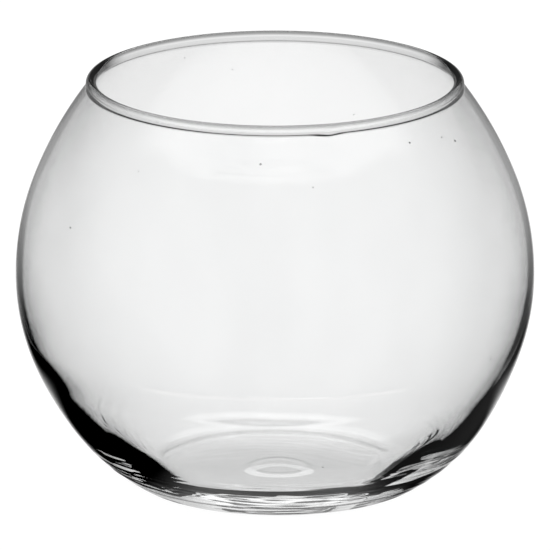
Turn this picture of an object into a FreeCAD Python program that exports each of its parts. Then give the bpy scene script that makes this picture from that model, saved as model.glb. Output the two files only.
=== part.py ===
import FreeCAD, Part
import math
import os
import Sketcher

# A rose bowl of clear glass: one blown piece with a fire-finished bead round its mouth.
# Lengths are in millimetres. The origin is on the axis, in the plane that the bowl stands on.

SIZES = [
    ("bowl_width", 150.0, "outside, across the belly"),
    ("bowl_height", 120.0, "resting plane to the top of the bead"),
    ("belly_share", 0.515, "height where the body is widest, of the bowl's height"),
    # The outside below the belly. The shares are of the belly's height.
    ("foot_inset_share", 0.566, "how far in from the belly the foot's sharp corner would lie"),
    ("heel_round", 10.0, "radius between the heel and the resting ring"),
    ("heel_top_share", 0.324, "height where the heel hands over to the side"),
    ("side_curve_share", 1.7, "radius of the flatter stretch above the heel"),
    ("side_top_share", 0.583, "height where the side hands over to the belly"),
    ("belly_curve_share", 1.084, "radius of the belly's lower half"),
    # The outside above the belly. The shares are of the height from there to the bead's top.
    ("shoulder_curve_share", 1.332, "radius of the shoulder"),
    ("shoulder_top_share", 0.485, "height above the belly where the shoulder hands over to the neck"),
    ("rim_inset_share", 0.378, "how far in from the belly the middle of the bead lies"),
    # The bead round the mouth. The shares are of its thickness.
    ("bead_thickness", 3.1, "diameter of the bead"),
    ("lean_share", 0.387, "how far outside the middle of the bead the neck's outer face meets it"),
    ("tuck_share", 0.129, "how far inside the middle of the bead the neck's inner face meets it"),
    # The hollow inside. The shares are of the belly's height.
    ("belly_wall", 1.8, "wall thickness at the belly"),
    ("cavity_curve_share", 0.971, "radius of the hollow below the belly"),
    ("cavity_turn_share", 0.583, "height where the hollow's side turns in towards the floor"),
    ("floor_inset", 2.0, "how far the floor's sharp corner would lie inside the foot's"),
    ("floor_height", 4.0, "height of the hollow's floor"),
    ("floor_round", 12.0, "radius between the floor and the hollow's side"),
    # The underside.
    ("rest_inset", 7.0, "width that the resting ring would have if the foot's corner were sharp"),
    ("push_up", 0.8, "height of the dished underside at the axis"),
    ("mark_width", 21.0, "outside of the mould's ring mark"),
    ("mark_channel", 4.2, "width of the ring mark"),
    ("mark_depth", 0.5, "depth of the ring mark"),
    ("cut_overrun", 5.0, "how far the cuts in the underside start below the bowl"),
]

# Sizes that follow from the ones above. A point's two cells end in _x, its distance from the
# axis, and _z, its height. An arc has a radius cell and the two cells of its centre.
DERIVED = [
    ("belly_x", "bowl_width / 2"),
    ("belly_z", "bowl_height * belly_share"),
    ("rise", "bowl_height - belly_z"),
    ("foot_x", "belly_x - belly_z * foot_inset_share"),
    ("bead_curve", "bead_thickness / 2"),
    ("bead_centre_x", "belly_x - rise * rim_inset_share"),
    ("bead_centre_z", "bowl_height - bead_curve"),
    ("rim_lean", "bead_thickness * lean_share"),
    ("rim_tuck", "bead_thickness * tuck_share"),
    ("rim_outer_x", "bead_centre_x + rim_lean"),
    ("rim_outer_z", "bead_centre_z - sqrt(bead_curve ^ 2 - rim_lean ^ 2)"),
    ("rim_inner_x", "bead_centre_x - rim_tuck"),
    ("rim_inner_z", "bead_centre_z - sqrt(bead_curve ^ 2 - rim_tuck ^ 2)"),
    ("inner_belly_x", "belly_x - belly_wall"),
    ("floor_x", "foot_x - floor_inset"),
    ("below", "-cut_overrun"),
    ("rest_x", "foot_x - rest_inset"),
    ("dish_curve", "(rest_x ^ 2 + push_up ^ 2) / (2 * push_up)"),
    ("dish_centre_x", "0"),
    ("dish_centre_z", "push_up - dish_curve"),
    ("mark_outer_x", "mark_width / 2"),
    ("mark_inner_x", "mark_outer_x - mark_channel"),
    ("mark_outer_z", "dish_centre_z + sqrt(dish_curve ^ 2 - mark_outer_x ^ 2)"),
    ("mark_curve", "((mark_channel / 2) ^ 2 + mark_depth ^ 2) / (2 * mark_depth)"),
    ("mark_centre_x", "mark_outer_x - mark_channel / 2"),
    ("mark_centre_z", "mark_outer_z + mark_depth - mark_curve"),
]


def upright_arc(name, curve, start_x, end_height):
    """An arc that leaves the belly upright, with a set radius, and ends at a set height."""
    return [
        (f"{name}_curve", curve),
        (f"{name}_centre_x", f"{start_x} - {name}_curve"),
        (f"{name}_centre_z", "belly_z"),
        (f"{name}_end_z", end_height),
        (f"{name}_end_x", f"{name}_centre_x + sqrt({name}_curve ^ 2 - ({name}_end_z - {name}_centre_z) ^ 2)"),
    ]


def direction_cells(name, before):
    """The unit direction from the last arc's centre to its end, where the next arc's centre lies too."""
    return [
        (f"{name}_way_x", f"({before}_end_x - {before}_centre_x) / {before}_curve"),
        (f"{name}_way_z", f"({before}_end_z - {before}_centre_z) / {before}_curve"),
    ]


def centre_cells(name, before):
    """The centre of an arc that leaves the last one smoothly."""
    return [
        (f"{name}_centre_x", f"{before}_end_x - {name}_curve * {name}_way_x"),
        (f"{name}_centre_z", f"{before}_end_z - {name}_curve * {name}_way_z"),
    ]


def arc_to_height(name, before, curve, end_height):
    """An arc that goes on smoothly from the last one, with a set radius, to a set height."""
    end_x = f"{name}_centre_x + sqrt({name}_curve ^ 2 - ({name}_end_z - {name}_centre_z) ^ 2)"
    cells = direction_cells(name, before) + [(f"{name}_curve", curve)] + centre_cells(name, before)
    return cells + [(f"{name}_end_z", end_height), (f"{name}_end_x", end_x)]


def arc_to_point(name, before, end_x, end_z):
    """An arc that goes on smoothly from the last one to a set point, which settles its radius."""
    run = [
        (f"{name}_end_x", end_x),
        (f"{name}_end_z", end_z),
        (f"{name}_run_x", f"{name}_end_x - {before}_end_x"),
        (f"{name}_run_z", f"{name}_end_z - {before}_end_z"),
    ]
    reach = f"{name}_run_x ^ 2 + {name}_run_z ^ 2"
    along = f"{name}_run_x * {name}_way_x + {name}_run_z * {name}_way_z"
    cells = run + direction_cells(name, before) + [(f"{name}_curve", f"-({reach}) / (2 * ({along}))")]
    return cells + centre_cells(name, before)


BELOW = "belly_z * {}_share"
ABOVE = "rise * {}_share"
SHOULDER_TOP = "belly_z + rise * shoulder_top_share"
DERIVED += upright_arc("belly_arc", BELOW.format("belly_curve"), "belly_x", BELOW.format("side_top"))
DERIVED += arc_to_height("side_arc", "belly_arc", BELOW.format("side_curve"), BELOW.format("heel_top"))
DERIVED += arc_to_point("heel_arc", "side_arc", "foot_x", "0")
DERIVED += upright_arc("shoulder_arc", ABOVE.format("shoulder_curve"), "belly_x", SHOULDER_TOP)
DERIVED += arc_to_point("neck_arc", "shoulder_arc", "rim_outer_x", "rim_outer_z")
DERIVED += upright_arc("cavity_arc", BELOW.format("cavity_curve"), "inner_belly_x", BELOW.format("cavity_turn"))
DERIVED += arc_to_point("basin_arc", "cavity_arc", "floor_x", "floor_height")
DERIVED += upright_arc("inner_shoulder_arc", "shoulder_arc_curve - belly_wall", "inner_belly_x", SHOULDER_TOP)
DERIVED += arc_to_point("inner_neck_arc", "inner_shoulder_arc", "rim_inner_x", "rim_inner_z")


def make_sheet(doc):
    """Writes the driving sizes and the derived ones to the document's sheet."""
    sheet = doc.addObject("Spreadsheet::Sheet", "Sizes")
    for row, (alias, value, note) in enumerate(SIZES, start=1):
        sheet.set(f"A{row}", alias)
        sheet.set(f"B{row}", str(value))
        sheet.set(f"C{row}", note)
        sheet.setAlias(f"B{row}", alias)
    for row, (alias, formula) in enumerate(DERIVED, start=len(SIZES) + 1):
        sheet.set(f"A{row}", alias)
        sheet.set(f"B{row}", f"={formula}")
        sheet.setAlias(f"B{row}", alias)
    doc.recompute()
    return sheet


def half_plane_sketch(body, name):
    """An empty sketch in the upright plane through the axis: its x is the radius, its y the height."""
    sketch = body.newObject("Sketcher::SketchObject", name)
    plane = next(f for f in body.Origin.OriginFeatures if f.Role == "XZ_Plane")
    sketch.AttachmentSupport = [(plane, "")]
    sketch.MapMode = "FlatFace"
    return sketch


class Section:
    """A closed outline in a sketch. Its corners and arcs are tied to cells of the sheet."""

    def __init__(self, sheet, body, name):
        self.sheet = sheet
        self.sketch = half_plane_sketch(body, name)
        self.edges = []

    def size(self, cell):
        return float(self.sheet.get(cell)) if cell else 0.0

    def point(self, corner):
        return FreeCAD.Vector(self.size(corner[0]), self.size(corner[1]), 0)

    def line(self, start, end):
        """A straight edge between two corners, each a pair of cells, where None is zero."""
        geometry = Part.LineSegment(self.point(start), self.point(end))
        self.edges.append((self.sketch.addGeometry(geometry), 1, 2, start))

    def arc(self, start, end, name):
        """The shorter arc from start to end with this name's centre and radius, either way round."""
        middle = self.point((f"{name}_centre_x", f"{name}_centre_z"))
        radius = self.size(f"{name}_curve")
        angles = []
        for corner in (start, end):
            spoke = self.point(corner) - middle
            angles.append(math.atan2(spoke.y, spoke.x))
        forward = (angles[1] - angles[0]) % (2 * math.pi) < math.pi
        first, last = angles if forward else reversed(angles)
        circle = Part.Circle(middle, FreeCAD.Vector(0, 0, 1), radius)
        index = self.sketch.addGeometry(Part.ArcOfCircle(circle, first, last))
        self.edges.append((index, 1 if forward else 2, 2 if forward else 1, start))
        constraint = self.sketch.addConstraint(Sketcher.Constraint("Radius", index, radius))
        self.sketch.setExpression(f"Constraints[{constraint}]", f"{self.sheet.Name}.{name}_curve")

    def close(self):
        """Joins each edge to the next and ties every corner to its cells."""
        for here, after in zip(self.edges, self.edges[1:] + self.edges[:1]):
            self.sketch.addConstraint(Sketcher.Constraint("Coincident", here[0], here[2], after[0], after[1]))
        for index, start, _, corner in self.edges:
            self.tie("DistanceX", index, start, corner[0])
            self.tie("DistanceY", index, start, corner[1])
        return self.sketch

    def tie(self, kind, index, end, cell):
        """Holds one end of an edge at the size in a cell, measured from the origin."""
        if cell is None:
            on_axis = -2 if kind == "DistanceX" else -1
            self.sketch.addConstraint(Sketcher.Constraint("PointOnObject", index, end, on_axis))
            return
        rule = Sketcher.Constraint(kind, -1, 1, index, end, self.size(cell))
        constraint = self.sketch.addConstraint(rule)
        self.sketch.setExpression(f"Constraints[{constraint}]", f"{self.sheet.Name}.{cell}")


def turn_about_axis(body, kind, name, sketch):
    """A full turn of a sketch about the bowl's axis, which adds or cuts glass."""
    feature = body.newObject(kind, name)
    feature.Profile = sketch
    feature.ReferenceAxis = (sketch, ["V_Axis"])
    feature.Angle = 360
    sketch.Visibility = False
    body.Document.recompute()
    return feature


def wall_section(sheet, body):
    """Half of the bowl cut through: up the outside, round the bead and down the inside."""
    section = Section(sheet, body, "WallSection")
    corners = [
        ("foot_x", None),
        ("side_arc_end_x", "side_arc_end_z"),
        ("belly_arc_end_x", "belly_arc_end_z"),
        ("belly_x", "belly_z"),
        ("shoulder_arc_end_x", "shoulder_arc_end_z"),
        ("rim_outer_x", "rim_outer_z"),
        ("bead_centre_x", "bowl_height"),
        ("rim_inner_x", "rim_inner_z"),
        ("inner_shoulder_arc_end_x", "inner_shoulder_arc_end_z"),
        ("inner_belly_x", "belly_z"),
        ("cavity_arc_end_x", "cavity_arc_end_z"),
        ("floor_x", "floor_height"),
    ]
    outside = ["heel_arc", "side_arc", "belly_arc", "shoulder_arc", "neck_arc", "bead"]
    inside = ["bead", "inner_neck_arc", "inner_shoulder_arc", "cavity_arc", "basin_arc"]
    section.line((None, None), corners[0])
    for start, end, name in zip(corners, corners[1:], outside + inside):
        section.arc(start, end, name)
    section.line(corners[-1], (None, "floor_height"))
    section.line((None, "floor_height"), (None, None))
    return section.close()


def dish_section(sheet, body):
    """The shallow dish under the bowl, inside the ring that it stands on."""
    section = Section(sheet, body, "DishSection")
    edge = ("rest_x", None)
    crown = (None, "push_up")
    section.line((None, "below"), ("rest_x", "below"))
    section.line(("rest_x", "below"), edge)
    section.arc(edge, crown, "dish")
    section.line(crown, (None, "below"))
    return section.close()


def mark_section(sheet, body):
    """The mould's ring mark, a shallow round channel in the dished underside."""
    section = Section(sheet, body, "MarkSection")
    inner = ("mark_inner_x", "mark_outer_z")
    outer = ("mark_outer_x", "mark_outer_z")
    section.line(("mark_inner_x", "below"), ("mark_outer_x", "below"))
    section.line(("mark_outer_x", "below"), outer)
    section.arc(outer, inner, "mark")
    section.line(inner, ("mark_inner_x", "below"))
    return section.close()


def nearest_ring(shape, radius, height):
    """The name of the circular edge that comes nearest to this radius and height."""
    misses = {}
    for number, edge in enumerate(shape.Edges, start=1):
        if isinstance(edge.Curve, Part.Circle):
            miss = math.hypot(edge.Curve.Radius - radius, edge.Curve.Center.z - height)
            misses[f"Edge{number}"] = miss
    return min(misses, key=misses.get)


def round_ring(sheet, body, name, base, ring, cell):
    """Rounds the circular edge at a radius and height with the radius in a cell."""
    feature = body.newObject("PartDesign::Fillet", name)
    feature.Base = (base, [nearest_ring(base.Shape, *ring)])
    feature.setExpression("Radius", f"{sheet.Name}.{cell}")
    body.Document.recompute()
    return feature


def make_bowl(doc, sheet):
    """The whole bowl: the turned wall, its rounded heel and floor, and the dished underside."""
    body = doc.addObject("PartDesign::Body", "GlassBowl")
    body.Label = "glass_bowl"
    wall = turn_about_axis(body, "PartDesign::Revolution", "Wall", wall_section(sheet, body))
    foot = (float(sheet.foot_x), 0)
    heel = round_ring(sheet, body, "HeelRound", wall, foot, "heel_round")
    floor = (float(sheet.floor_x), float(sheet.floor_height))
    basin = round_ring(sheet, body, "FloorRound", heel, floor, "floor_round")
    dish = turn_about_axis(body, "PartDesign::Groove", "Dish", dish_section(sheet, body))
    mark = turn_about_axis(body, "PartDesign::Groove", "RingMark", mark_section(sheet, body))
    for before, after in [(wall, heel), (basin, dish), (dish, mark)]:
        if not after.Shape.Volume < before.Shape.Volume:
            raise RuntimeError(f"{after.Name} took no glass away")
    if not basin.Shape.Volume > heel.Shape.Volume:
        raise RuntimeError("FloorRound added no glass")
    body.Placement = FreeCAD.Placement()
    return body


def check(doc, bodies):
    """Stops if any object of the document failed, or if a body isn't one valid solid."""
    for item in doc.Objects:
        if "Invalid" in item.State or "Error" in item.State:
            raise RuntimeError(f"{item.Name} failed: {item.State}")
    for body in bodies:
        shape = body.Shape
        if shape.isNull() or not shape.isValid() or len(shape.Solids) != 1:
            raise RuntimeError(f"{body.Label} isn't one valid solid")


def export(bodies):
    """Writes each body to its own file, named after its label."""
    os.makedirs("parts", exist_ok=True)
    for body in bodies:
        body.Shape.exportStep(os.path.join("parts", f"{body.Label}.step"))


def main():
    doc = FreeCAD.newDocument("RoseBowl")
    sheet = make_sheet(doc)
    bodies = [make_bowl(doc, sheet)]
    doc.recompute()
    check(doc, bodies)
    export(bodies)
    for body in bodies:
        box = body.Shape.optimalBoundingBox(False, False)
        size = f"{box.XLength:.2f} x {box.YLength:.2f} x {box.ZLength:.2f}"
        print(f"{body.Label}: {size} mm, {body.Shape.Volume:.0f} cubic mm of glass")


main()
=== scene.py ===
import math

import bpy
import numpy as np
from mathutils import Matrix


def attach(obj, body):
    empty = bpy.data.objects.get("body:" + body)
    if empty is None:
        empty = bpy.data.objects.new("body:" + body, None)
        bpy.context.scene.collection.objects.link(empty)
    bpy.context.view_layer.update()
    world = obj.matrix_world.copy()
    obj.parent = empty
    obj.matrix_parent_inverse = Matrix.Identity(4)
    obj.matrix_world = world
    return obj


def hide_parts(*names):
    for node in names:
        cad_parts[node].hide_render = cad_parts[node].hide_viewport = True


# A rose bowl of clear blown glass on a white ground. The glass is one turned solid with the small
# faults of real blown glass: a wavy inner wall, a heel of uneven thickness, a settle line, seeds in
# the wall and a lump where the bead was closed. Lengths are in millimetres until they become points,
# and MM turns them into metres. A pair of values is where a step starts and where it ends, unless
# a comment says something else.

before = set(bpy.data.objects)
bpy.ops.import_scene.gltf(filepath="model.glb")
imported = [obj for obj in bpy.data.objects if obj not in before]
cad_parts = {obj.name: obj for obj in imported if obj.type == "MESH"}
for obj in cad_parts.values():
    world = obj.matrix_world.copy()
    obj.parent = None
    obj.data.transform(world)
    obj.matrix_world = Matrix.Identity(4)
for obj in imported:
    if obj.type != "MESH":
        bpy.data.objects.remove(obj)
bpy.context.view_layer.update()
MM = 0.001

# The outside, as in the CAD
BOWL_WIDTH = 150.0
BOWL_HEIGHT = 120.0
BELLY_HEIGHT = 61.8
FOOT_WIDTH = 80.0
HEEL_ROUND = 10.0
HEEL_TOP = 20.0
SIDE_CURVE = 105.0
SIDE_TOP = 36.0
BELLY_CURVE = 67.0
SHOULDER_CURVE = 77.5
SHOULDER_TOP = 90.0
RIM_WIDTH = 106.0
BEAD_RADIUS = 1.55
RIM_LEAN = 1.2
RIM_TUCK = 0.4

# The hollow
BELLY_WALL = 1.8
CAVITY_CURVE = 60.0
CAVITY_TURN = 36.0
FLOOR_WIDTH = 76.0
FLOOR_HEIGHT = 4.0
FLOOR_ROUND = 12.0

# The hollow at the front, where the wall stays even down to a thick heel
HEEL_KINK = (12.6, 11.6)        # heights where the even wall ends and the heel's slope begins
HEEL_FLOOR = (27.0, 23.0)       # radii where the slope ends and the level floor begins
FRONT_SPREAD = (24.0, 50.0)     # degrees from the front over which this shape ends

# The underside, nearly flat, with the mould's ring mark
REST_WIDTH = 66.0
PUSH_UP = 0.05
MARK_WIDTH = 21.0
MARK_CHANNEL = 4.2
MARK_DEPTH = 0.03

# Points in the turned mesh: round each ring, and along the stretches of the outline
AROUND = 720
UNDER_POINTS = 100
FOOT_POINTS = 48
HEEL_POINTS = 72
BODY_POINTS = 32
BEND_POINTS = 36
BEAD_POINTS = 28
SHORT_POINTS = 24

# The faults of blown glass, with places as degrees round the bowl
FRONT = -90.0               # where the camera stands
BASE_SHIFT = 1.0            # how far the foot is off the bowl's middle, to the right
BASE_HEIGHTS = (5.0, 40.0)
LEFT_HEEL = 0.45            # extra glass in the heel on the left
LEFT_HEIGHTS = (10.0, 32.0, 35.0, 46.0)     # where it rises and where it falls
RIGHT_THIN = 0.5            # and how much less there is on the right
THIN_HEIGHTS = (4.0, 10.0, 14.0, 32.0)
RIGHT_EVEN = 0.8            # how far the foot's front right takes the front's shape
RIGHT_PLACE = -25.0
RIGHT_SPREAD = (20.0, 60.0)
RIGHT_HEIGHTS = (8.0, 16.0)
WAVE_HEIGHT = 0.03          # slow waves inside
WAVE_HEIGHTS = (4.0, 20.0, 80.0, 110.0)
RIPPLE_HEIGHT = 0.07        # fine ripples inside and outside the heel
RIPPLE_START = (0.3, 3.0)
RIPPLE_TOP = (6.8, 12.8)
RIPPLE_SIDE = 4.0           # how much higher the outer ones reach at the sides
RIPPLE_ASIDE = (20.0, 50.0)
OUTER_SEED = 5
INNER_SEED = 6
LUMP_HEIGHT = 0.6           # where the bead was closed
LUMP_PLACE = -73.5
LUMP_SPREAD = 3.0
LUMP_FADE = (0.2, 0.8)      # shares of the bead's radius above its middle
SETTLE_HEIGHT = 44.5        # the line where the glass first touched the mould
SETTLE_RIDGE = 0.15
SETTLE_WIDTH = 0.8
SETTLE_REACH = (26.0, 34.0)

# Sums of sines: ranges for the waves in one turn and for the length of a wave upward, and how many
SLOW_WAVES = {"turns": (1, 7), "lengths": (30.0, 90.0), "count": 12, "seed": 3}
SETTLE_WAVES = {"turns": (2, 9), "lengths": (50.0, 60.0), "count": 5, "seed": 8}
RIPPLE_WAVES = {"turns": (-16, 24), "lengths": (1.2, 4.0), "count": 16}

SEEDS = [                   # bubbles: degrees from the front, height and radius
    (-39.0, 105.0, 0.2), (-4.0, 110.0, 0.3), (10.0, 104.0, 0.2), (42.0, 112.0, 0.3), (55.0, 111.0, 0.25),
    (60.0, 109.0, 0.35), (64.0, 97.0, 0.2), (-56.0, 86.0, 0.3), (58.0, 47.0, 0.35), (13.0, 21.0, 0.25),
    (-168.0, 107.0, 0.2), (-152.0, 113.0, 0.2), (160.0, 92.0, 0.2)]
SEED_STEPS = 12             # points round a seed

# Places of a Mix node's share and two colours among its inputs, and of the mixed colour
MIX_INPUTS = (0, 6, 7)
MIX_OUTPUT = 2

# The camera, for a frame of 550 x 550 pixels
FRAME_PIXELS = 550
FOCAL_PIXELS = 14372.5
CAMERA_AWAY = 4000.0
CAMERA_HEIGHT = 1190.93
CAMERA_TILT = 15.775
SENSOR_WIDTH = 36.0
CLIP_START = 100.0
CLIP_END = 100000.0

# The studio: angles in degrees, heights and depths as parts of a unit direction
BACKDROP_TILT = -16.6
BACKDROP_SPREAD = (2.0, 18.0)
BACKDROP_STRENGTH = 0.8
BOX_TILT = 45.0
BOX_SPREAD = (15.0, 25.0)
BOX_STRENGTH = 1.4
ROD_SPREAD = (25.0, 70.0)           # the backdrop as it is seen through the bead or one wall
ROD_STRENGTH = 0.4
ROUND_DEPTHS = (0.0, 0.3)           # seen so, it goes on round the bowl
ROUND_HEIGHTS = (-0.05, 0.05)
CEILING_HEIGHTS = (-0.3, 0.4)
CEILING_STRENGTH = 0.08
WALL_HEIGHTS = (-0.36, -0.12)       # the studio's back wall, lit in a band at eye level
WALL_TOP = (0.02, 0.2)
WALL_TOP_SHARE = 0.15
WALL_DEPTHS = (0.2, 0.7)
WALL_STRENGTH = 0.4
SHINE_HEIGHTS = (0.1, 0.2)          # the white that the level floor inside the bowl mirrors
SHINE_DEPTHS = (0.6, 0.8)
SHINE_STRENGTH = 1.0
SIDE_DEPTHS = (0.1, 0.5)            # a dim light on the right
SIDE_STRENGTH = 0.064
STRAIGHT_SPREAD = (15.0, 35.0)      # how far a ray mirrored twice may bend and still see white
WHITE = (1.0, 1.0, 1.0, 1.0)

# The glass. Its tones are colours, each noise is a scale and a detail, and shares are noise values. Besides
# its own grey, the colour holds painted shade, painted dark reflections and a painted highlight
GLASS_IOR = 1.5
GREY_TONE = (0.955, 0.958, 0.958, 1.0)
CLEAR_TONE = (0.985, 0.987, 0.987, 1.0)
TONE_STRETCH = (1.0, 1.0, 0.4)
TONE_NOISE = (45.0, 3.0)
TONE_SHARES = (0.3, 0.7)
# Painted shade on the glass's edges where the wall turns from the eye, partly the deeper tint of a longer
# path through the glass
EDGE_SHADE_TONE = (0.9, 0.903, 0.903, 1.0)
EDGE_FACING = (0.1, 0.45)           # how far the wall turns from the eye before its painted shade begins
EDGE_HEIGHTS = (6.0, 14.0)
# Painted shade that darkens the bead's crown
BEAD_SHADE_TONE = (0.2, 0.201, 0.201, 1.0)
BEAD_SHADE_HEIGHTS = (118.6, 120.0)
CRESCENT_SHADE_TONE = (0.03, 0.03, 0.03, 1.0)     # painted dark reflections on the bead's outer face at the bowl's sides
BEAD_SIDES = (44.0, 51.0)
BEAD_BACK = (-10.0, 5.0)
BEAD_FOOT = (116.6, 117.2)
BEAD_OUTER = (52.6, 53.2)
STREAK_SHADE_TONE = (0.6, 0.602, 0.602, 1.0)      # painted shade in level grey streaks in the heel
STREAK_STRETCH = (1.0, 1.0, 25.0)
STREAK_NOISE = (60.0, 2.0)
STREAK_SHARES = (0.45, 0.62)
STREAK_HEIGHTS = (6.0, 8.5)
STREAK_DEPTHS = (-32.0, -25.0)      # the painted streaks and the painted line fade towards the back
LINE_SHADE_TONE = (0.08, 0.08, 0.08, 1.0)         # painted shade in a darker line where the heel turns under
LINE_HEIGHT = 4.4
LINE_SPREAD = (0.2, 0.7)
LINE_SHARES = (0.25, 0.45)
# A painted highlight along the settle line, a thin bright line
SETTLE_HIGHLIGHT_TONE = (1.0, 1.0, 1.0, 1.0)
SETTLE_NOISE = (30.0, 1.0)
SETTLE_STRAY = 1.0                  # how far the painted highlight strays up and down
SETTLE_SPREAD = (0.2, 0.8)

# The ground, as the camera sees it
FLOOR_SIZE = 1200.0
FLOOR_GAP = 0.02
SHOWN_STRENGTH = 0.97
FLOOR_GREY = (0.1, 0.1, 0.1, 1.0)

# The ground as the glass sees it, which glows near the bowl only, with painted shade and painted light
# under the bowl
LIT_HALF_WIDTHS = (45.0, 62.0)
LIT_RADII = (52.0, 75.0)
STRIP_START = (30.0, 50.0)      # the ground behind the bowl that the inside of the back wall mirrors
OUTSIDE_START = (22.0, 55.0)    # and that the bowl's outer face mirrors at its edges
STRIP_STRENGTH = 0.65
STRIP_HALF_WIDTHS = (75.0, 105.0)
OUTSIDE_HALF_WIDTHS = (20.0, 42.0)  # further out the outer face mirrors no ground in front of that
# Painted shade on the ground under the bowl
UNDER_MIDDLE = -16.0
UNDER_SQUEEZE = 0.6
UNDER_RADII = (14.0, 34.0)
UNDER_STRENGTH = 0.95
RAGGED = 9.0                        # how far noise moves the edges of the painted shade and the painted patch of light
RAGGED_NOISE = (60.0, 3.0)
NEAR_STRENGTH = 0.8                 # how bright the painted shade leaves the ground under the bowl's near edge
NEAR_TO_FAR = (-15.0, 20.0)
CORNER_STRENGTH = 0.4               # and beside the near edge
CORNER_ASIDE = (20.0, 40.0)
CORNER_ALONG = (-36.0, -26.0)
NEAR_RADII = (50.0, 60.0)           # where this painted shade ends
PATCH_MIDDLE = 33.0                 # a painted patch of light, brighter and ragged, under the floor's back edge
PATCH_SQUEEZE = 0.5
PATCH_RADII = (6.0, 18.0)
PATCH_STRENGTH = 0.15
RING_FORWARD = 4.5                  # a painted ring of light, where the mould mark would throw it
RING_MIDDLE = 8.4
RING_SQUEEZE = 1.3
RING_SPREAD = (1.7, 2.3)
RING_STRENGTH = 1.15


def arc_points(centre, start, end, count):
    """Points after start, up to and with end, on the shorter arc about a centre."""
    first = math.atan2(start[1] - centre[1], start[0] - centre[0])
    last = math.atan2(end[1] - centre[1], end[0] - centre[0])
    turn = (last - first + math.pi) % (2 * math.pi) - math.pi
    radius = math.dist(centre, start)
    angles = [first + turn * step / count for step in range(1, count + 1)]
    return [(centre[0] + radius * math.cos(a), centre[1] + radius * math.sin(a)) for a in angles]


def bend(start, corner, end, count):
    """Points after start, up to and with end, on a smooth bend that a corner pulls out."""
    points = []
    for step in range(1, count + 1):
        share = step / count
        near, middle, far = (1 - share) ** 2, 2 * share * (1 - share), share ** 2
        points.append(tuple(near * a + middle * b + far * c for a, b, c in zip(start, corner, end)))
    return points


def straight(start, end, count):
    return bend(start, ((start[0] + end[0]) / 2, (start[1] + end[1]) / 2), end, count)


def point_at_height(centre, radius, height):
    return (centre[0] + math.sqrt(radius ** 2 - (height - centre[1]) ** 2), height)


def centre_beyond(centre, point, radius):
    """The centre of an arc of this radius that leaves the arc about centre smoothly at a point."""
    reach = math.dist(centre, point)
    way = ((point[0] - centre[0]) / reach, (point[1] - centre[1]) / reach)
    return (point[0] - radius * way[0], point[1] - radius * way[1])


def centre_towards(centre, point, end):
    """The centre of the arc that leaves the arc about centre smoothly at a point and meets an end."""
    reach = math.dist(centre, point)
    way = ((point[0] - centre[0]) / reach, (point[1] - centre[1]) / reach)
    run = (end[0] - point[0], end[1] - point[1])
    radius = -(run[0] ** 2 + run[1] ** 2) / (2 * (run[0] * way[0] + run[1] * way[1]))
    return centre_beyond(centre, point, radius)


def round_corner(centre, corner, floor, radius):
    """The round between a level floor and the arc about centre that would meet it at a corner."""
    reach = math.dist(centre, corner) - radius
    rise = floor + radius - centre[1]
    middle = (centre[0] + math.sqrt(reach ** 2 - rise ** 2), floor + radius)
    scale = (reach + radius) / reach
    touch = (centre[0] + (middle[0] - centre[0]) * scale, centre[1] + (middle[1] - centre[1]) * scale)
    return middle, touch


def side_arcs():
    """The centres of the outside's side and heel arcs and the point where they meet."""
    belly_centre = (BOWL_WIDTH / 2 - BELLY_CURVE, BELLY_HEIGHT)
    side_top = point_at_height(belly_centre, BELLY_CURVE, SIDE_TOP)
    side_centre = centre_beyond(belly_centre, side_top, SIDE_CURVE)
    heel_top = point_at_height(side_centre, SIDE_CURVE, HEEL_TOP)
    heel_centre = centre_towards(side_centre, heel_top, (FOOT_WIDTH / 2, 0.0))
    return side_centre, heel_centre, heel_top


def rim_point(offset):
    """Where the neck meets the bead, at an offset from the bead's middle."""
    return (RIM_WIDTH / 2 + offset, BOWL_HEIGHT - BEAD_RADIUS - math.sqrt(BEAD_RADIUS ** 2 - offset ** 2))


def underside_points():
    """From the axis out to the resting ring, with the mould's ring mark."""
    half = REST_WIDTH / 2
    dish = (half ** 2 + PUSH_UP ** 2) / (2 * PUSH_UP)
    outer = MARK_WIDTH / 2
    inner = outer - MARK_CHANNEL
    points = []
    for step in range(UNDER_POINTS + 1):
        radius = half * step / UNDER_POINTS
        height = PUSH_UP - dish + math.sqrt(dish ** 2 - radius ** 2)
        if inner < radius < outer:
            height += MARK_DEPTH * math.sin(math.pi * (radius - inner) / MARK_CHANNEL) ** 2
        points.append((radius, height))
    return points


def outside_points():
    """From the resting ring up to the bead."""
    half = BOWL_WIDTH / 2
    belly = (half, BELLY_HEIGHT)
    belly_centre = (half - BELLY_CURVE, BELLY_HEIGHT)
    side_top = point_at_height(belly_centre, BELLY_CURVE, SIDE_TOP)
    side_centre, heel_centre, heel_top = side_arcs()
    round_centre, touch = round_corner(heel_centre, (FOOT_WIDTH / 2, 0.0), 0.0, HEEL_ROUND)
    shoulder_centre = (half - SHOULDER_CURVE, BELLY_HEIGHT)
    shoulder_top = point_at_height(shoulder_centre, SHOULDER_CURVE, SHOULDER_TOP)
    rim = rim_point(RIM_LEAN)
    neck_centre = centre_towards(shoulder_centre, shoulder_top, rim)
    rest = (round_centre[0], 0.0)
    points = [rest] + arc_points(round_centre, rest, touch, FOOT_POINTS)
    points += arc_points(heel_centre, touch, heel_top, HEEL_POINTS)
    points += arc_points(side_centre, heel_top, side_top, SHORT_POINTS)
    points += arc_points(belly_centre, side_top, belly, BODY_POINTS)
    points += arc_points(shoulder_centre, belly, shoulder_top, BODY_POINTS)
    return points + arc_points(neck_centre, shoulder_top, rim, BODY_POINTS)


def bead_points():
    """Over the bead, from the neck's outer face to its inner face."""
    middle = (RIM_WIDTH / 2, BOWL_HEIGHT - BEAD_RADIUS)
    crown = (middle[0], BOWL_HEIGHT)
    outer = arc_points(middle, rim_point(RIM_LEAN), crown, SHORT_POINTS)
    return outer + arc_points(middle, crown, rim_point(-RIM_TUCK), BEAD_POINTS)


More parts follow.
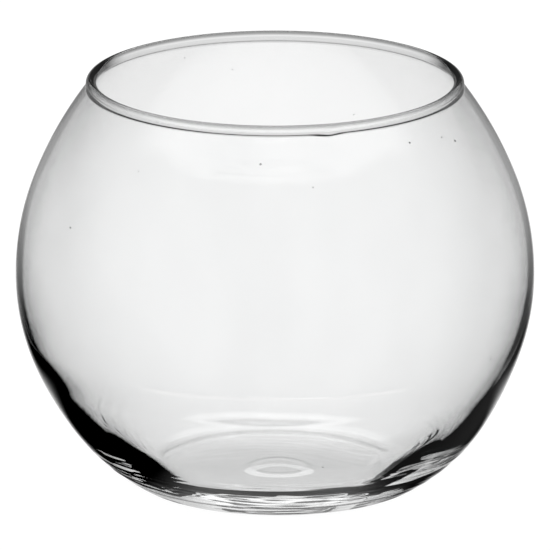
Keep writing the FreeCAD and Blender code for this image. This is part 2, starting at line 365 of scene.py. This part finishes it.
def hollow_points(front):
    """From the bead down the inside to the axis, with the even wall of the front or not."""
    half = BOWL_WIDTH / 2 - BELLY_WALL
    belly = (half, BELLY_HEIGHT)
    shoulder_centre = (BOWL_WIDTH / 2 - SHOULDER_CURVE, BELLY_HEIGHT)
    shoulder_top = point_at_height(shoulder_centre, SHOULDER_CURVE - BELLY_WALL, SHOULDER_TOP)
    rim = rim_point(-RIM_TUCK)
    neck_centre = centre_towards(shoulder_centre, shoulder_top, rim)
    cavity_centre = (half - CAVITY_CURVE, BELLY_HEIGHT)
    turn = point_at_height(cavity_centre, CAVITY_CURVE, CAVITY_TURN)
    points = arc_points(neck_centre, rim, shoulder_top, BODY_POINTS)
    points += arc_points(shoulder_centre, shoulder_top, belly, BODY_POINTS)
    points += arc_points(cavity_centre, belly, turn, BODY_POINTS)
    return points + (even_basin(turn) if front else thick_basin(cavity_centre, turn))


def thick_basin(cavity_centre, turn):
    """From the side to the axis, with a wall that thickens towards the floor."""
    floor = (FLOOR_WIDTH / 2, FLOOR_HEIGHT)
    basin_centre = centre_towards(cavity_centre, turn, floor)
    round_centre, touch = round_corner(basin_centre, floor, FLOOR_HEIGHT, FLOOR_ROUND)
    level = (round_centre[0], FLOOR_HEIGHT)
    points = arc_points(basin_centre, turn, touch, HEEL_POINTS)
    points += arc_points(round_centre, touch, level, BEND_POINTS)
    return points + straight(level, (0.0, FLOOR_HEIGHT), SHORT_POINTS)


def even_basin(turn):
    """From the side to the axis, with an even wall that ends in a kink above a thick heel."""
    side_centre, heel_centre, heel_top = side_arcs()
    inner_top = point_at_height(side_centre, math.dist(side_centre, turn), heel_top[1])
    radius = math.dist(heel_centre, inner_top)
    start, kink = [point_at_height(heel_centre, radius, height) for height in HEEL_KINK]
    corner, level = [(radius, FLOOR_HEIGHT) for radius in HEEL_FLOOR]
    slope = ((kink[0] + corner[0]) / 2, (kink[1] + corner[1]) / 2)
    points = arc_points(side_centre, turn, inner_top, SHORT_POINTS)
    points += arc_points(heel_centre, inner_top, start, SHORT_POINTS)
    points += bend(start, kink, slope, BEND_POINTS) + bend(slope, corner, level, SHORT_POINTS)
    return points + straight(level, (0.0, FLOOR_HEIGHT), SHORT_POINTS)


def smooth(value, start, end):
    """0 before start, 1 after end and a soft step between them."""
    share = np.clip((value - start) / (end - start), 0.0, 1.0)
    return share * share * (3 - 2 * share)


def band(value, low, start, end, high):
    """1 between start and end, 0 below low and above high, with soft steps."""
    return smooth(value, low, start) * (1 - smooth(value, end, high))


def degrees_from(around, place):
    """Degrees from a place round the bowl, with no sign."""
    return np.abs((np.degrees(around) - place + 180.0) % 360.0 - 180.0)


def waves(around, height, turns, lengths, count, seed):
    """A sum of sines that closes round the bowl, between about -1 and 1."""
    dice = np.random.default_rng(seed)
    total = np.zeros(np.broadcast(around, height).shape)
    for _ in range(count):
        turn = dice.integers(*turns)
        length = dice.uniform(*lengths)
        total += np.sin(turn * around + 2 * np.pi * height / length + dice.uniform(0, 2 * np.pi))
    return total / math.sqrt(count)


def hollow_faults(around, height):
    """How far the inside stands out from the turned shape, towards the outside of the bowl."""
    slow = WAVE_HEIGHT * band(height, *WAVE_HEIGHTS) * waves(around, height, **SLOW_WAVES)
    left = LEFT_HEEL * np.clip(-np.cos(around), 0.0, 1.0) * band(height, *LEFT_HEIGHTS)
    right = RIGHT_THIN * np.clip(np.cos(around), 0.0, 1.0) * band(height, *THIN_HEIGHTS)
    reach = 1 - smooth(degrees_from(around, FRONT), *SETTLE_REACH)
    line = height - SETTLE_HEIGHT - waves(around, 0.0, **SETTLE_WAVES)
    settle = SETTLE_RIDGE * reach * np.exp(-(line / SETTLE_WIDTH) ** 2)
    return slow - left + right - settle


def ripples(around, height, rise, seed):
    """Fine, nearly level streaks in the heel, that rise higher at the sides."""
    side = smooth(degrees_from(around, FRONT), *RIPPLE_ASIDE)
    fade = (1 - smooth(height - rise * side, *RIPPLE_TOP)) * smooth(height, *RIPPLE_START)
    return RIPPLE_HEIGHT * fade * waves(around, height, seed=seed, **RIPPLE_WAVES)


def lump(around, radius, height):
    """The bead's lump, as moves outward and upward that leave the crown alone."""
    out = (radius - RIM_WIDTH / 2) / BEAD_RADIUS
    up = (height - BOWL_HEIGHT + BEAD_RADIUS) / BEAD_RADIUS
    size = LUMP_HEIGHT * np.exp(-(degrees_from(around, LUMP_PLACE) / LUMP_SPREAD) ** 2)
    size = size * (1 - smooth(up, *LUMP_FADE))
    return out * size, up * size


def front_share(around, height):
    """How far the hollow takes the front's shape: wholly in front, and at the foot on the right."""
    front = 1 - smooth(degrees_from(around, FRONT), *FRONT_SPREAD)
    right = RIGHT_EVEN * (1 - smooth(degrees_from(around, RIGHT_PLACE), *RIGHT_SPREAD))
    return np.maximum(front, right * (1 - smooth(height, *RIGHT_HEIGHTS)))


def bowl_rings():
    """The angles round the bowl, and every point's radius and height, ring by ring."""
    under, outside = underside_points(), outside_points()
    shell = under + outside + bead_points()
    plain, even = [np.array(shell + hollow_points(front))[1:, :, None] for front in (False, True)]
    around = 2 * math.pi * np.arange(AROUND) / AROUND
    front = front_share(around, plain[:, 1])
    radius, height = [plain[:, axis] * (1 - front) + even[:, axis] * front for axis in (0, 1)]
    side = slice(len(under) - 1, len(under) + len(outside) - 1)
    rim = slice(side.stop, len(shell) - 1)
    inside = slice(rim.stop, len(radius))
    radius[side] += ripples(around, height[side], RIPPLE_SIDE, OUTER_SEED)
    move, lift = lump(around, radius[rim], height[rim])
    radius[rim] += move
    height[rim] += lift
    faults = hollow_faults(around, height[inside])
    radius[inside] += faults + ripples(around, height[inside] - FLOOR_HEIGHT, 0.0, INNER_SEED)
    return around, np.maximum(radius, 0.0), height


def ring_faces(count):
    """Quads between neighbouring rings and triangles to the two poles, all facing out of the glass."""
    low_pole = count * AROUND
    high_pole = low_pole + 1
    last = (count - 1) * AROUND
    faces = []
    for here in range(AROUND):
        after = (here + 1) % AROUND
        faces.append((low_pole, after, here))
        faces.append((last + here, last + after, high_pole))
    for ring in range(0, last, AROUND):
        for here in range(AROUND):
            after = (here + 1) % AROUND
            faces.append((ring + here, ring + after, ring + AROUND + after, ring + AROUND + here))
    return faces


def seed_points(centre, size):
    """A ball's points, row by row from its top row, then its top and its bottom."""
    rows = SEED_STEPS // 2
    points = []
    for row in range(1, rows):
        for step in range(SEED_STEPS):
            low, across = math.pi * row / rows, 2 * math.pi * step / SEED_STEPS
            way = (math.sin(low) * math.cos(across), math.sin(low) * math.sin(across), math.cos(low))
            points.append(tuple(c + size * w for c, w in zip(centre, way)))
    return points + [(*centre[:2], centre[2] + size), (*centre[:2], centre[2] - size)]


def seed_faces(first, count):
    """The faces of a ball of count points that start at first, turned towards its inside."""
    top = first + count - 2
    last = top - SEED_STEPS
    faces = []
    for step in range(SEED_STEPS):
        after = (step + 1) % SEED_STEPS
        faces.append((top, first + after, first + step))
        faces.append((top + 1, last + step, last + after))
        for ring in range(first, last, SEED_STEPS):
            low = ring + SEED_STEPS
            faces.append((ring + step, ring + after, low + after, low + step))
    return faces


def add_seed(points, faces, turn, height, size):
    """A round bubble in the middle of the wall, its faces turned towards the air in it."""
    outer = np.array(outside_points())
    inner = np.array(hollow_points(False))[::-1]
    middle = (np.interp(height, outer[:, 1], outer[:, 0]) + np.interp(height, inner[:, 1], inner[:, 0])) / 2
    angle = math.radians(FRONT + turn)
    ball = seed_points((middle * math.cos(angle), middle * math.sin(angle), height), size)
    faces += seed_faces(len(points), len(ball))
    points += ball


def bowl_mesh():
    around, radius, height = bowl_rings()
    shift = BASE_SHIFT * (1 - smooth(height, *BASE_HEIGHTS))
    points = np.stack([radius * np.cos(around) + shift, radius * np.sin(around), height], axis=-1)
    poles = [(BASE_SHIFT, 0.0, PUSH_UP), (BASE_SHIFT, 0.0, FLOOR_HEIGHT)]
    points = points[:-1].reshape(-1, 3).tolist() + poles
    faces = ring_faces(len(radius) - 1)
    for seed in SEEDS:
        add_seed(points, faces, *seed)
    mesh = bpy.data.meshes.new("glass_bowl_visual")
    mesh.from_pydata([tuple(value * MM for value in point) for point in points], [], faces)
    mesh.shade_smooth()
    return mesh


class Nodes:
    """Short ways to add and join shader nodes in one tree."""

    def __init__(self, tree):
        tree.nodes.clear()
        self.tree = tree

    def add(self, kind, **settings):
        node = self.tree.nodes.new("ShaderNode" + kind)
        for name, value in settings.items():
            setattr(node, name, value)
        return node

    def feed(self, socket, value):
        """Sets a socket to a value, or links it if the value is another node's output."""
        if isinstance(value, bpy.types.NodeSocket):
            self.tree.links.new(value, socket)
        else:
            socket.default_value = value

    def maths(self, operation, *values):
        node = self.add("Math", operation=operation)
        for socket, value in zip(node.inputs, values):
            self.feed(socket, value)
        return node.outputs[0]

    def times(self, first, *others):
        """The product of all the values."""
        for other in others:
            first = self.maths("MULTIPLY", first, other)
        return first

    def most(self, first, *others):
        """The largest of the values."""
        for other in others:
            first = self.maths("MAXIMUM", first, other)
        return first

    def rest(self, share):
        """What a share leaves of 1."""
        return self.maths("SUBTRACT", 1.0, share)

    def choose(self, share, first, second):
        """The first value turned by a share into the second."""
        return self.maths("ADD", self.times(self.rest(share), first), self.times(share, second))

    def ramp(self, value, span, low, high):
        """Goes smoothly from low to high while the value goes from a span's start to its end."""
        node = self.add("MapRange", interpolation_type="SMOOTHSTEP")
        settings = {"Value": value, "From Min": span[0], "From Max": span[1], "To Min": low, "To Max": high}
        for name, setting in settings.items():
            self.feed(node.inputs[name], setting)
        return node.outputs["Result"]

    def ramp_mm(self, value, span, low, high):
        """The same for a value in metres and a span in millimetres."""
        return self.ramp(value, [end * MM for end in span], low, high)

    def split(self, vector):
        node = self.add("SeparateXYZ")
        self.feed(node.inputs[0], vector)
        return list(node.outputs)

    def mix(self, share, first, second):
        """The first colour turned by a share into the second."""
        node = self.add("Mix", data_type="RGBA")
        for place, value in zip(MIX_INPUTS, (share, first, second)):
            self.feed(node.inputs[place], value)
        return node.outputs[MIX_OUTPUT]

    def stretched(self, place, scale):
        node = self.add("Mapping")
        self.feed(node.inputs["Vector"], place)
        self.feed(node.inputs["Scale"], scale)
        return node.outputs["Vector"]

    def noise(self, place, scale, detail):
        node = self.add("TexNoise")
        for name, value in [("Vector", place), ("Scale", scale), ("Detail", detail)]:
            self.feed(node.inputs[name], value)
        return node.outputs["Fac"]

    def stray(self, noise, reach):
        """Noise as a move of up to half a reach in millimetres either way."""
        return self.times(self.maths("SUBTRACT", noise, 0.5), reach * MM)

    def distance(self, across, along):
        return self.maths("SQRT", self.maths("ADD", self.times(across, across), self.times(along, along)))

    def angle_from(self, direction, way):
        """Degrees between a direction and a fixed way."""
        dot = self.add("VectorMath", operation="DOT_PRODUCT")
        self.feed(dot.inputs[0], direction)
        self.feed(dot.inputs[1], way)
        return self.maths("DEGREES", self.maths("ARCCOSINE", dot.outputs["Value"]))

    def ray(self, name):
        """What the light path says of the ray."""
        return self.add("LightPath").outputs[name]

    def passed(self, faces):
        """1 for a ray that has passed exactly this many faces of glass, else 0."""
        return self.maths("COMPARE", self.ray("Transmission Depth"), faces, 0.5)

    def passed_more(self, faces):
        """1 for a ray that has passed more than this many faces of glass, else 0."""
        return self.maths("GREATER_THAN", self.ray("Transmission Depth"), faces + 0.5)

    def mirrored(self, times):
        """1 for a ray that has been mirrored exactly this many times, else 0."""
        return self.maths("COMPARE", self.ray("Glossy Depth"), times, 0.5)

    def straight_through(self):
        """1 for a ray that has passed two walls of glass with no reflection or with two, else 0."""
        return self.times(self.passed_more(3), self.most(self.mirrored(0), self.mirrored(2)))

    def finish(self, kind, shader):
        self.feed(self.add(kind).inputs["Surface"], shader.outputs[0])


def new_material(name):
    material = bpy.data.materials.new(name)
    material.use_nodes = True
    return material, Nodes(material.node_tree)


def way_up(degrees):
    """The unit direction away from the camera at an angle above the horizon."""
    return (0.0, math.cos(math.radians(degrees)), math.sin(math.radians(degrees)))


def studio_light(nodes, direction, bent):
    """The dim studio that the glass mirrors, with its backdrop and a soft box above it."""
    across, along, up = nodes.split(direction)
    from_box = nodes.angle_from(direction, way_up(BOX_TILT))
    wall = nodes.times(nodes.ramp(up, WALL_HEIGHTS, 0.0, WALL_STRENGTH),
                       nodes.ramp(along, WALL_DEPTHS, 0.0, 1.0),
                       nodes.ramp(up, WALL_TOP, 1.0, WALL_TOP_SHARE))
    return nodes.most(nodes.ramp(bent, BACKDROP_SPREAD, BACKDROP_STRENGTH, 0.0),
                      nodes.ramp(from_box, BOX_SPREAD, BOX_STRENGTH, 0.0),
                      nodes.ramp(up, CEILING_HEIGHTS, 0.0, CEILING_STRENGTH),
                      wall,
                      nodes.ramp(across, SIDE_DEPTHS, 0.0, SIDE_STRENGTH))


def one_wall_light(nodes, direction, bent):
    """The backdrop as it is seen through the bead or one wall, wider and on round the bowl."""
    along, up = nodes.split(direction)[1:]
    wide = nodes.times(nodes.ramp(bent, ROD_SPREAD, BACKDROP_STRENGTH, ROD_STRENGTH),
                       nodes.maths("GREATER_THAN", up, way_up(BACKDROP_TILT)[2]))
    round_about = nodes.times(nodes.ramp(along, ROUND_DEPTHS, BACKDROP_STRENGTH, 0.0),
                              nodes.ramp(up, ROUND_HEIGHTS, 1.0, 0.0))
    return nodes.most(nodes.ramp(bent, BACKDROP_SPREAD, BACKDROP_STRENGTH, 0.0), wide, round_about)


def floor_shine(nodes, direction):
    """White for the rays that the level floor inside the bowl mirrors out through the back wall."""
    along, up = nodes.split(direction)[1:]
    return nodes.times(nodes.mirrored(1), nodes.passed_more(5),
                       nodes.ramp(up, SHINE_HEIGHTS, 0.0, SHINE_STRENGTH),
                       nodes.ramp(along, SHINE_DEPTHS, 0.0, 1.0))


def light_world():
    """White to the eye and behind the glass, with a dim studio round it that the glass mirrors."""
    world = bpy.data.worlds.new("studio")
    bpy.context.scene.world = world
    world.use_nodes = True
    nodes = Nodes(world.node_tree)
    direction = nodes.add("TexCoord").outputs["Generated"]
    bent = nodes.angle_from(direction, way_up(BACKDROP_TILT))
    one_wall = nodes.times(nodes.mirrored(0), nodes.passed(2))
    light = nodes.choose(one_wall, studio_light(nodes, direction, bent),
                         one_wall_light(nodes, direction, bent))
    little_bent = nodes.most(nodes.mirrored(0), nodes.ramp(bent, STRAIGHT_SPREAD, 1.0, 0.0))
    straight_on = nodes.times(nodes.straight_through(), little_bent)
    white = nodes.most(nodes.ray("Is Camera Ray"), nodes.ray("Is Diffuse Ray"), straight_on)
    background = nodes.add("Background")
    nodes.feed(background.inputs["Color"], WHITE)
    nodes.feed(background.inputs["Strength"], nodes.most(light, floor_shine(nodes, direction), white))
    nodes.finish("OutputWorld", background)


def ground_places(nodes):
    """Across and along the ground from under the foot's middle, and aside from the bowl's middle."""
    across, along = nodes.split(nodes.add("TexCoord").outputs["Object"])[:2]
    return nodes.maths("SUBTRACT", across, BASE_SHIFT * MM), along, nodes.maths("ABSOLUTE", across)


def ragged_oval(nodes, across, along, squeeze, middle):
    """The distance from a middle on the ground, in an oval that is wide across and has a ragged edge."""
    radius = nodes.distance(nodes.times(across, squeeze), nodes.maths("SUBTRACT", along, middle * MM))
    noise = nodes.noise(nodes.add("TexCoord").outputs["Object"], *RAGGED_NOISE)
    return nodes.maths("ADD", radius, nodes.stray(noise, RAGGED))


def painted_ring_light(nodes, across, along):
    """A ring of light painted on the ground, where the mould mark would throw it."""
    along = nodes.times(nodes.maths("ADD", along, RING_FORWARD * MM), RING_SQUEEZE)
    from_ring = nodes.maths("SUBTRACT", nodes.distance(across, along), RING_MIDDLE * MM)
    return nodes.ramp_mm(nodes.maths("ABSOLUTE", from_ring), RING_SPREAD, RING_STRENGTH, 0.0)


def painted_ground_light(nodes, across, along, aside):
    """How bright the glass sees the ground under it: painted shade under the bowl, and painted light in a
    ragged patch and a ring.
    """
    under = ragged_oval(nodes, across, along, UNDER_SQUEEZE, UNDER_MIDDLE)
    patch = ragged_oval(nodes, across, along, PATCH_SQUEEZE, PATCH_MIDDLE)
    near = nodes.ramp_mm(nodes.distance(across, along), NEAR_RADII, 1.0, 0.0)
    front = nodes.times(near, nodes.ramp_mm(along, NEAR_TO_FAR, 1 - NEAR_STRENGTH, 0.0))
    corner = nodes.times(near, nodes.ramp_mm(aside, CORNER_ASIDE, 0.0, 1 - CORNER_STRENGTH),
                         nodes.ramp_mm(along, CORNER_ALONG, 1.0, 0.0))
    shade = nodes.times(nodes.ramp_mm(under, UNDER_RADII, UNDER_STRENGTH, 1.0), nodes.rest(front),
                        nodes.rest(corner), nodes.ramp_mm(patch, PATCH_RADII, 1 + PATCH_STRENGTH, 1.0))
    return nodes.most(shade, painted_ring_light(nodes, across, along))


def ground_gone(nodes, across, along, aside):
    """1 where the glass sees no ground, beside and beyond the bowl, less what its faces mirror."""
    far = nodes.most(nodes.ramp_mm(aside, LIT_HALF_WIDTHS, 0.0, 1.0),
                     nodes.ramp_mm(nodes.distance(across, along), LIT_RADII, 0.0, 1.0))
    behind = nodes.choose(nodes.passed(0), nodes.ramp_mm(along, STRIP_START, 0.0, STRIP_STRENGTH),
                          nodes.ramp_mm(along, OUTSIDE_START, 0.0, STRIP_STRENGTH))
    strip = nodes.times(nodes.rest(nodes.passed_more(2)), nodes.ray("Is Glossy Ray"), behind,
                        nodes.ramp_mm(aside, STRIP_HALF_WIDTHS, 1.0, 0.0))
    sides = nodes.times(nodes.passed(0), nodes.ray("Is Glossy Ray"),
                        nodes.ramp_mm(aside, OUTSIDE_HALF_WIDTHS, 0.0, 1.0),
                        nodes.ramp_mm(along, OUTSIDE_START, 1.0, 0.0))
    return nodes.most(nodes.maths("SUBTRACT", far, strip), sides)


def floor_material():
    """White to the eye, with a trace of shadow. The glass sees it glowing near the bowl only, with painted
    shade and painted light under the bowl.
    """
    material, nodes = new_material("white_ground")
    places = ground_places(nodes)
    camera = nodes.ray("Is Camera Ray")
    glow = nodes.add("Emission")
    strength = nodes.choose(camera, painted_ground_light(nodes, *places), SHOWN_STRENGTH)
    nodes.feed(glow.inputs["Strength"], strength)
    matte = nodes.add("BsdfDiffuse")
    nodes.feed(matte.inputs["Color"], FLOOR_GREY)
    both = nodes.add("AddShader")
    nodes.feed(both.inputs[0], glow.outputs[0])
    nodes.feed(both.inputs[1], matte.outputs[0])
    shown = nodes.most(camera, nodes.straight_through())
    mix = nodes.add("MixShader")
    nodes.feed(mix.inputs[0], nodes.times(ground_gone(nodes, *places), nodes.rest(shown)))
    nodes.feed(mix.inputs[1], both.outputs[0])
    nodes.feed(mix.inputs[2], nodes.add("BsdfTransparent").outputs[0])
    nodes.finish("OutputMaterial", mix)
    return material


def make_floor():
    mesh = bpy.data.meshes.new("floor")
    half = FLOOR_SIZE / 2 * MM
    corners = [(-half, -half, 0.0), (half, -half, 0.0), (half, half, 0.0), (-half, half, 0.0)]
    mesh.from_pydata(corners, [], [(0, 1, 2, 3)])
    floor = bpy.data.objects.new("floor", mesh)
    floor.location.z = -FLOOR_GAP * MM
    mesh.materials.append(floor_material())
    bpy.context.scene.collection.objects.link(floor)


def glass_tone(nodes, place):
    """The faint grey of the glass, which changes slowly over it."""
    tone = nodes.add("ValToRGB")
    nodes.feed(tone.inputs["Fac"], nodes.noise(nodes.stretched(place, TONE_STRETCH), *TONE_NOISE))
    low, high = tone.color_ramp.elements
    low.position, high.position = TONE_SHARES
    low.color, high.color = GREY_TONE, CLEAR_TONE
    return tone.outputs["Color"]


def edge_shade_share(nodes, up):
    """How far painted shade darkens the wall above the heel where it turns from the eye."""
    facing = nodes.add("LayerWeight").outputs["Facing"]
    return nodes.times(nodes.ramp(facing, EDGE_FACING, 0.0, 1.0), nodes.ramp_mm(up, EDGE_HEIGHTS, 0.0, 1.0))


def painted_crescent_share(nodes, across, along, up):
    """1 where dark reflections are painted, on the bead's outer face at the bowl's sides."""
    return nodes.times(nodes.ramp_mm(nodes.maths("ABSOLUTE", across), BEAD_SIDES, 0.0, 1.0),
                       nodes.ramp_mm(along, BEAD_BACK, 0.0, 1.0),
                       nodes.ramp_mm(up, BEAD_FOOT, 0.0, 1.0),
                       nodes.ramp_mm(nodes.distance(across, along), BEAD_OUTER, 0.0, 1.0))


def heel_shade_shares(nodes, place):
    """Where painted shade lies on the front of the heel, in grey streaks and in a dark line."""
    along, up = nodes.split(place)[1:]
    grain = nodes.noise(nodes.stretched(place, STREAK_STRETCH), *STREAK_NOISE)
    ahead = nodes.ramp_mm(along, STREAK_DEPTHS, 1.0, 0.0)
    streaks = nodes.times(nodes.ramp(grain, STREAK_SHARES, 0.0, 1.0),
                          nodes.ramp_mm(up, STREAK_HEIGHTS, 1.0, 0.0), ahead)
    from_line = nodes.maths("ABSOLUTE", nodes.maths("SUBTRACT", up, LINE_HEIGHT * MM))
    line = nodes.times(nodes.ramp_mm(from_line, LINE_SPREAD, 1.0, 0.0),
                       nodes.ramp(grain, LINE_SHARES, 0.0, 1.0), ahead)
    return streaks, line


def settle_highlight_share(nodes, place):
    """1 on the painted highlight, a thin bright line across the front where the glass first touched the
    mould.
    """
    across, along, up = nodes.split(place)
    level = nodes.add("CombineXYZ")
    nodes.feed(level.inputs[0], across)
    stray = nodes.stray(nodes.noise(level.outputs[0], *SETTLE_NOISE), 2 * SETTLE_STRAY)
    above = nodes.maths("SUBTRACT", nodes.maths("SUBTRACT", up, SETTLE_HEIGHT * MM), stray)
    turn = nodes.maths("DEGREES", nodes.maths("ARCTAN2", across, nodes.times(along, -1.0)))
    return nodes.times(nodes.ramp_mm(nodes.maths("ABSOLUTE", above), SETTLE_SPREAD, 1.0, 0.0),
                       nodes.ramp(nodes.maths("ABSOLUTE", turn), SETTLE_REACH, 1.0, 0.0))


def glass_material():
    material, nodes = new_material("clear_glass_blown")
    place = nodes.add("TexCoord").outputs["Object"]
    across, along, up = nodes.split(place)
    streaks, line = heel_shade_shares(nodes, place)
    colour = glass_tone(nodes, place)
    # Painted shade on the edges that turn from the eye
    colour = nodes.mix(edge_shade_share(nodes, up), colour, EDGE_SHADE_TONE)
    # Painted shade over the bead's crown
    colour = nodes.mix(nodes.ramp_mm(up, BEAD_SHADE_HEIGHTS, 0.0, 1.0), colour, BEAD_SHADE_TONE)
    # Painted dark reflections on the bead's sides
    colour = nodes.mix(painted_crescent_share(nodes, across, along, up), colour, CRESCENT_SHADE_TONE)
    # Painted shade in grey streaks on the heel's front
    colour = nodes.mix(streaks, colour, STREAK_SHADE_TONE)
    # Painted shade in a dark line where the heel turns under
    colour = nodes.mix(line, colour, LINE_SHADE_TONE)
    # Painted highlight along the settle line
    colour = nodes.mix(settle_highlight_share(nodes, place), colour, SETTLE_HIGHLIGHT_TONE)
    shader = nodes.add("BsdfPrincipled")
    nodes.feed(shader.inputs["Base Color"], colour)
    shader.inputs["Roughness"].default_value = 0.0
    shader.inputs["IOR"].default_value = GLASS_IOR
    shader.inputs["Transmission Weight"].default_value = 1.0
    nodes.finish("OutputMaterial", shader)
    return material


def make_camera():
    data = bpy.data.cameras.new("camera")
    camera = bpy.data.objects.new("camera", data)
    bpy.context.scene.collection.objects.link(camera)
    camera.location = (0.0, -CAMERA_AWAY * MM, CAMERA_HEIGHT * MM)
    camera.rotation_euler = (math.radians(90 - CAMERA_TILT), 0.0, 0.0)
    data.sensor_width = SENSOR_WIDTH
    data.lens = SENSOR_WIDTH * FOCAL_PIXELS / FRAME_PIXELS
    data.clip_start = CLIP_START * MM
    data.clip_end = CLIP_END * MM
    bpy.context.scene.camera = camera


def main():
    bowl = bpy.data.objects.new("glass_bowl_blown", bowl_mesh())
    bpy.context.scene.collection.objects.link(bowl)
    bowl.data.materials.append(glass_material())
    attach(bowl, "root")
    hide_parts("glass_bowl")
    make_floor()
    make_camera()
    light_world()
    bpy.context.scene.view_settings.view_transform = "Standard"


main()
